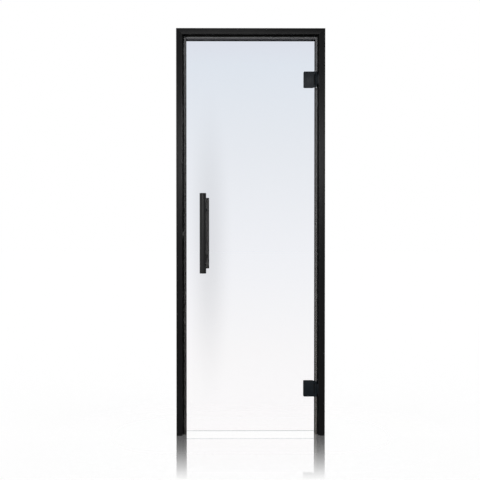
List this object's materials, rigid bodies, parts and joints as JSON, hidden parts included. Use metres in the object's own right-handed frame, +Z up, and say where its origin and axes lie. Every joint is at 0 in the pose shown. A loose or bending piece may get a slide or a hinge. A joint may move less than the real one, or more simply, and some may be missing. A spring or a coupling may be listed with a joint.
{
  "type": "framed glass sauna door",
  "caption": "Glass sauna door: a clear frameless leaf on clamp hinges in a black aluminium frame, with a round bar handle outside, a flat one inside and a roller catch.",
  "frame": {"origin": "foot of the hinge jamb's outer face, at floor level and half the frame's depth", "axes": "+X out of the hinge jamb's outer face, +Y from the outside of the sauna to its inside, +Z up"},
  "size_m": [0.69, 0.136, 1.89],
  "materials": {
    "frame_aluminium": "matt black powder coat on extruded aluminium",
    "seal_rubber": "black hollow rubber strip",
    "glass": "clear toughened safety glass with polished edges",
    "hinge_metal": "satin black",
    "handle_metal": "satin black",
    "pin_steel": "ground",
    "pad_rubber": "thin black sheet",
    "catch_plastic": "black",
    "roller_plastic": "dark grey"
  },
  "bodies": {
    "frame": {"strike_jamb": "frame_aluminium", "hinge_jamb": "frame_aluminium", "head": "frame_aluminium", "strike_seal": "seal_rubber", "hinge_seal": "seal_rubber", "head_seal": "seal_rubber", "lower_hinge_plate": "hinge_metal", "upper_hinge_plate": "hinge_metal", "lower_hinge_pin": "pin_steel", "upper_hinge_pin": "pin_steel", "catch_case": "catch_plastic"},
    "leaf": {"glass_pane": "glass", "lower_outer_clamp": "hinge_metal", "lower_inner_clamp": "hinge_metal", "lower_outer_pad": "pad_rubber", "lower_inner_pad": "pad_rubber", "upper_outer_clamp": "hinge_metal", "upper_inner_clamp": "hinge_metal", "upper_outer_pad": "pad_rubber", "upper_inner_pad": "pad_rubber", "outer_handle_bar": "handle_metal", "inner_handle_bar": "handle_metal", "lower_outer_post": "handle_metal", "lower_inner_post": "handle_metal", "upper_outer_post": "handle_metal", "upper_inner_post": "handle_metal"},
    "catch": {"catch_plunger": "catch_plastic", "catch_roller": "roller_plastic", "catch_axle": "pin_steel"}
  },
  "joints": [
    {"name": "leaf_swing", "type": "hinge", "parent": "frame", "child": "leaf", "pos_m": [-0.041, -0.034, 0.217], "axis": [0, 0, 1], "range_deg": [0, 110]},
    {"name": "catch_plunge", "type": "slide", "parent": "frame", "child": "catch", "axis": [-1, 0, 0], "range_m": [0, 0.004], "stiffness_N_per_m": 1500}
  ]
}
